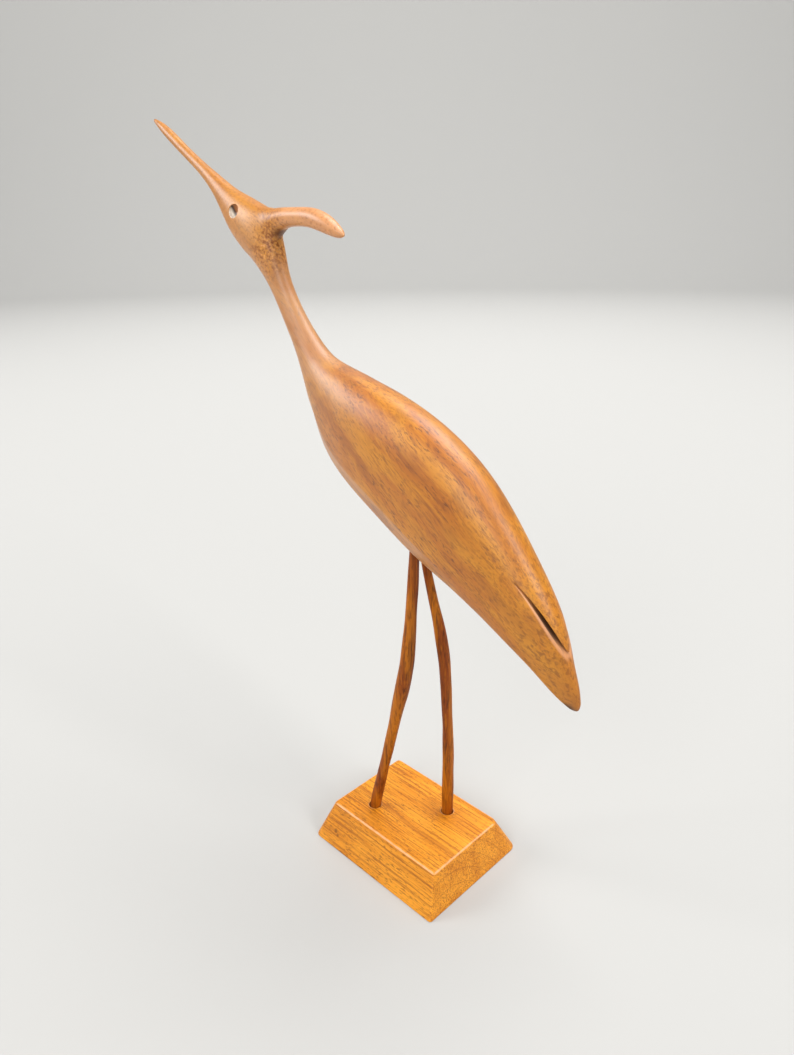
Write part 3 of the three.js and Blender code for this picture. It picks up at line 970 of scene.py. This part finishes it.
def bird_teak(settings):
    """Reddish golden oiled teak, sanded smooth: a soft sheen over faint streaks along the body, with
    brown smudges towards the tail, a darker tip and painted shade under it. A painted sheen lightens the
    neck and shoulders, the crest is painted lighter as if lit, and the head is freckled. The nape is
    blotchy end grain, with painted shade in the corner under the crest's root. The wing slot is painted
    dark with depth as shade, with painted light on its worn lower lip, which faces up. An eye socket has
    painted light below and painted shade above, which gives way to the wood's own colour towards the back."""
    teak = Teak(
        "oiled golden brown teak", settings, BODY_GRAIN,
        waver=7.0, streaks=0.75, mottles=(0.65, 5, 1.0), pores=(0.7, 2.4, 0.6), sparse=0.4,
    )
    tree = teak.tree
    place = add_node(tree, "ShaderNodeSeparateXYZ", {0: teak.place})
    along, height = place.outputs["X"], place.outputs["Z"]
    nape, crest_root, cut_depth, lower_lip, socket_depth, socket_side = (
        add_node(tree, "ShaderNodeAttribute", attribute_name=name).outputs["Fac"]
        for name in ("nape", "crest_root", "cut_depth", "lower_lip", "socket_depth", "socket_side")
    )

    # Body, neck and crest
    cloud = teak.grain(14, 6)
    teak.shade(settings.dark, (cloud, 0.52, 0.68, 0, 0.28))
    teak.shade(settings.pale, (along, -50 * MM, -85 * MM, 0, 0.4))
    # Painted sheen over the neck and shoulders
    neck = mask(tree, (along, -5 * MM, -52 * MM), (height, 265 * MM, 240 * MM, 0.3, 1))
    teak.shade(settings.painted_sheen, neck, (cloud, 0.6, 0.4, 0.3, 0.5))
    # Painted light over the crest
    teak.shade(settings.paler_wood_and_light, (height, 246 * MM, 251 * MM, 0, 0.55), (along, -72 * MM, -62 * MM))

    # Rear of the body
    smudge = teak.grain(2.6, 1.1, detail=3.0, distortion=0.3)
    rear = mask(tree, (along, 20 * MM, 70 * MM))
    teak.shade(settings.pale, rear, 0.35)
    teak.shade(settings.smudge, (smudge, 0.5, 0.66, 0, 0.6), rear)

    # Nape and head
    blotch = add_node(
        tree, "ShaderNodeTexNoise", {"Vector": teak.place, "Scale": 1 / (1.1 * MM), "Detail": 2.0}
    ).outputs[0]
    teak.shade(settings.pale, (blotch, 0.5, 0.38, 0, 0.8), nape)
    teak.shade(settings.rich, (blotch, 0.48, 0.6, 0, 0.7), nape)
    teak.shade(settings.paler_wood_and_light, (blotch, 0.4, 0.3, 0, 0.7), nape)
    teak.shade(settings.smudge, (blotch, 0.6, 0.68, 0, 0.6), nape)
    teak.shade(settings.rich, (blotch, 0.53, 0.66), (height, 235 * MM, 255 * MM, 0, 0.4))
    teak.sink(mask(tree, nape, blotch), 3.0)
    # Painted shade in the corner under the crest's root
    teak.shade(settings.pores, (crest_root, 0.2, 0.9, 0, 0.8))

    # Tail, slot and eyes
    teak.shade(settings.rich, (along, 64 * MM, 76 * MM, 0, 0.4))
    # Painted shade under the tail's tip
    teak.spot(settings.painted_shade, *TAIL_SHADE, share=0.85)
    # Painted light on the worn lower lip of the slot, which faces up
    teak.shade(settings.painted_lip_light, (cut_depth, 0.0, 0.15, 0, 0.5), lower_lip)
    # Painted shade deep in the slot, growing with depth
    teak.shade(settings.painted_shade, (cut_depth, 0.3, 0.7, 0, 0.97))
    # Eye sockets: painted light on the lower front and painted shade on the upper back, which gives way to
    # the wood's own colour towards the back rim
    socket = lay_over(tree, settings.socket_painted_light, settings.socket_painted_shade, (socket_side, -0.5, 0.15))
    socket = lay_over(tree, socket, settings.wood, (socket_side, 0.15, 0.6, 0, 0.8))
    teak.shade(socket, (socket_depth, 0.1, 0.3))

    oiled = mask(tree, (along, 10 * MM, 60 * MM, 0.5, 0.2), (nape, 0, 1, 1.0, 0.1))
    return teak.finish(roughness=0.45, relief=0.06, coat=oiled, gloss=0.5)


def leg_teak(settings):
    """Dark oiled teak dowel: streaked along the leg, with a dull sheen."""
    teak = Teak(
        "dark oiled teak dowel", settings, LEG_GRAIN,
        waver=3.0, streaks=1.0, mottles=(0.7, 12, 0.9), pores=(0.5, 3.2, 0.5), sparse=0.6,
    )
    return teak.finish(roughness=0.5, relief=0.06, coat=0.0, gloss=0.25)


def base_teak(settings):
    """Golden oiled teak block: fine straight grain along its length, growth rings about a pith below
    the block that show as arcs on both ends, open pores, knots, and edges worn pale."""
    teak = Teak(
        "oiled golden teak", settings, 0.0,
        waver=1.2, streaks=0.7, mottles=(0.4, 9, 1.0), pores=(0.7, 2.2, 0.5), sparse=0.7,
    )
    tree = teak.tree
    line = teak.grain(40, 0.55, detail=1.0)
    teak.shade(settings.dark, (line, 0.55, 0.68, 0, 0.7))
    teak.shade(settings.pale, (line, 0.44, 0.3, 0, 0.5))

    # Growth rings: dark late wood ends each ring, by the distance from the pith's line along X
    pith = tuple(value * MM for value in PITH)
    across = add_node(
        tree, "ShaderNodeVectorMath", {0: teak.bent, 1: pith}, operation="SUBTRACT"
    ).outputs[0]
    flat = add_node(
        tree, "ShaderNodeVectorMath", {0: across, 1: (0, 1, 1)}, operation="MULTIPLY"
    ).outputs[0]
    radius = add_node(tree, "ShaderNodeVectorMath", {0: flat}, operation="LENGTH").outputs["Value"]
    ring = add_node(
        tree, "ShaderNodeMath", {0: radius, 1: RING_SPACING * MM}, operation="DIVIDE"
    ).outputs[0]
    turn = add_node(tree, "ShaderNodeMath", {0: ring}, operation="FRACT").outputs[0]
    teak.shade(settings.dark, (turn, 0.86, 0.97, 0, 0.4))
    for knot in KNOTS:
        teak.spot(settings.pores, *knot)

    # Rubbed edges, of uneven breadth
    wobble = add_node(
        tree, "ShaderNodeTexNoise", {"Vector": teak.place, "Scale": 1 / (2.5 * MM), "Detail": 2.0}
    ).outputs[0]
    from_edge = add_node(tree, "ShaderNodeAttribute", attribute_name="from_edge").outputs["Fac"]
    uneven = add_node(
        tree, "ShaderNodeMath", {0: wobble, 1: 0.4, 2: from_edge}, operation="MULTIPLY_ADD"
    ).outputs[0]
    teak.shade(settings.worn, (uneven, 0.62, 0.25, 0, 0.6))
    return teak.finish(roughness=0.48, relief=0.05, coat=0.0, gloss=0.4)


def paper(colour):
    """Matt seamless background paper: an even pale ground without highlights."""
    material = bpy.data.materials.new("matt studio paper")
    material.use_nodes = True
    shader = material.node_tree.nodes["Principled BSDF"]
    shader.inputs["Base Color"].default_value = colour
    shader.inputs["Roughness"].default_value = 0.9
    shader.inputs["Specular IOR Level"].default_value = 0.2
    return material


# Stage


def sweep_floor():
    """Round seamless floor, in mm: a flat disc that turns up into a wall by a quarter circle, as rings
    about the vertical through the origin."""
    flat, curve, wall = 3200.0, 1600.0, 1600.0
    turn = np.linspace(0, np.pi / 2, 24)
    disc = np.linspace(1, flat, 12)[:-1]
    reach = np.concatenate([disc, flat + curve * np.sin(turn), [flat + curve]])[:, None]
    rise = np.concatenate([0 * disc, curve * (1 - np.cos(turn)), [curve + wall]])[:, None]
    around = full_turn(96)
    rings = np.stack([reach * np.cos(around), reach * np.sin(around), rise + 0 * around], axis=-1)
    centre_face = np.arange(len(around))[::-1].tolist()
    faces = ring_faces(len(reach), len(around))[:, ::-1].tolist()
    mesh = bpy.data.meshes.new("floor")
    mesh.from_pydata((rings.reshape(-1, 3) * MM).tolist(), [], [centre_face, *faces])
    mesh.shade_smooth()
    return mesh


def add_softbox(name, place, target, sides, watts):
    """Adds a rectangular area light at a place, facing a target, in metres."""
    light = bpy.data.lights.new(name, "AREA")
    light.shape = "RECTANGLE"
    light.size, light.size_y = sides
    light.energy = watts
    softbox = add_object(name, light)
    direction = np.subtract(target, place)
    x, y, z = direction / np.linalg.norm(direction)
    softbox.location = place
    softbox.rotation_euler = (math.acos(-z), 0, math.atan2(y, x) - math.pi / 2)


def add_camera():
    """Adds the camera where the picture was taken: turned by heading, pitch and roll from level."""
    data = bpy.data.cameras.new("camera")
    data.sensor_width = SENSOR
    data.lens = CAMERA_FOCAL_PIXELS / max(PICTURE_SIZE) * SENSOR
    data.clip_start, data.clip_end = 0.01, 20
    camera = add_object("camera", data)
    turn = (
        Matrix.Rotation(math.radians(CAMERA_HEADING), 4, "Z")
        @ Matrix.Rotation(math.radians(90 + CAMERA_PITCH), 4, "X")
        @ Matrix.Rotation(math.radians(CAMERA_ROLL), 4, "Z")
    )
    place = Matrix.Translation([value * MM for value in CAMERA_PLACE])
    camera.matrix_world = place @ turn
    return camera


class WADER_OT_set_stage(bpy.types.Operator):
    """Lays the paper floor, hangs the softboxes and places the camera."""

    bl_idname = "wader.set_stage"
    bl_label = "Set Stage"

    def execute(self, context):
        settings = context.scene.wader_stage
        scene = context.scene
        floor = add_object("floor", sweep_floor())
        floor.data.materials.append(paper(settings.floor))
        for softbox in SOFTBOXES:
            add_softbox(*softbox)
        world = bpy.data.worlds.new("studio")
        world.use_nodes = True
        background = world.node_tree.nodes["Background"]
        background.inputs["Color"].default_value = settings.sky
        background.inputs["Strength"].default_value = SURROUND_STRENGTH
        scene.world = world
        scene.view_settings.view_transform = "Standard"
        scene.camera = add_camera()
        return {"FINISHED"}


class WADER_PT_panel(bpy.types.Panel):
    """Lists the pieces and their sizes and colours."""

    bl_idname = "WADER_PT_panel"
    bl_label = "Wading Bird"
    bl_space_type = "VIEW_3D"
    bl_region_type = "UI"
    bl_category = "Wading Bird"

    def draw(self, context):
        scene = context.scene
        for operator, group in STEPS:
            box = self.layout.box()
            box.operator(operator.bl_idname)
            settings = getattr(scene, group)
            for name in settings.__annotations__:
                box.prop(settings, name)


STEPS = (
    (WADER_OT_set_stage, "wader_stage"),
    (WADER_OT_carve_bird, "wader_bird"),
    (WADER_OT_shape_legs, "wader_legs"),
    (WADER_OT_saw_base, "wader_base"),
)
SETTINGS = {
    "wader_bird": WaderBirdSettings,
    "wader_legs": WaderLegSettings,
    "wader_base": WaderBaseSettings,
    "wader_stage": WaderStageSettings,
}
CLASSES = (*SETTINGS.values(), *(operator for operator, _ in STEPS), WADER_PT_panel)


def register():
    """Registers the classes and hangs the settings on the scene."""
    for cls in CLASSES:
        bpy.utils.register_class(cls)
    for name, group in SETTINGS.items():
        setattr(bpy.types.Scene, name, bpy.props.PointerProperty(type=group))


def unregister():
    """Takes the settings and the classes away again."""
    for name in SETTINGS:
        delattr(bpy.types.Scene, name)
    for cls in reversed(CLASSES):
        bpy.utils.unregister_class(cls)


def main():
    """Builds the whole scene."""
    register()
    bpy.ops.wader.set_stage()
    bpy.ops.wader.carve_bird()
    bpy.ops.wader.shape_legs()
    bpy.ops.wader.saw_base()


if __name__ == "__main__":
    main()
